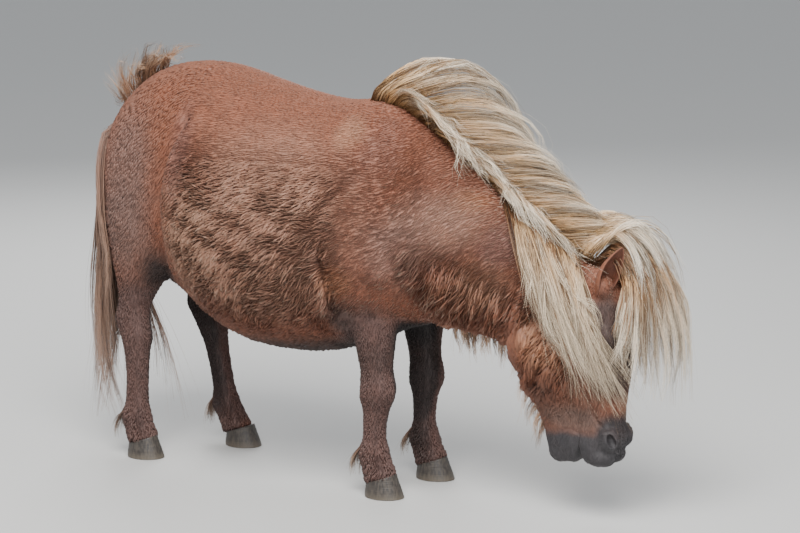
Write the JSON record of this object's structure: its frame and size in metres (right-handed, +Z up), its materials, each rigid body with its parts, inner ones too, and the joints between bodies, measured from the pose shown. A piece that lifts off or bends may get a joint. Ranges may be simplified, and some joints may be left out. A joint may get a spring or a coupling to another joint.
{
  "type": "grazing pony figure",
  "caption": "Life-size still figure of a grazing Shetland pony with a round body, flaxen mane and forelock, and a long tail.",
  "frame": {"origin": "on the floor, under the centre of the model's box", "axes": "+X along the body to the head, +Y to the pony's left side, +Z up"},
  "size_m": [1.729, 0.5594, 1.0578],
  "materials": {
    "coat": "short and ruffled chestnut coat",
    "mane_hair": "long flaxen hair",
    "tail_hair": "long mixed brown hair",
    "hoof_horn": "dark horn",
    "eye_wet": "wet dark brown"
  },
  "bodies": {
    "root": {"torso": "coat", "neck": "coat", "head": "coat", "ear_left": "coat", "ear_right": "coat", "eye_left": "eye_wet", "eye_right": "eye_wet", "leg_fore_left": "coat", "leg_fore_right": "coat", "leg_hind_left": "coat", "leg_hind_right": "coat", "hoof_fore_left": "hoof_horn", "hoof_fore_right": "hoof_horn", "hoof_hind_left": "hoof_horn", "hoof_hind_right": "hoof_horn", "mane": "mane_hair", "forelock": "mane_hair", "tail": "tail_hair"}
  },
  "joints": []
}
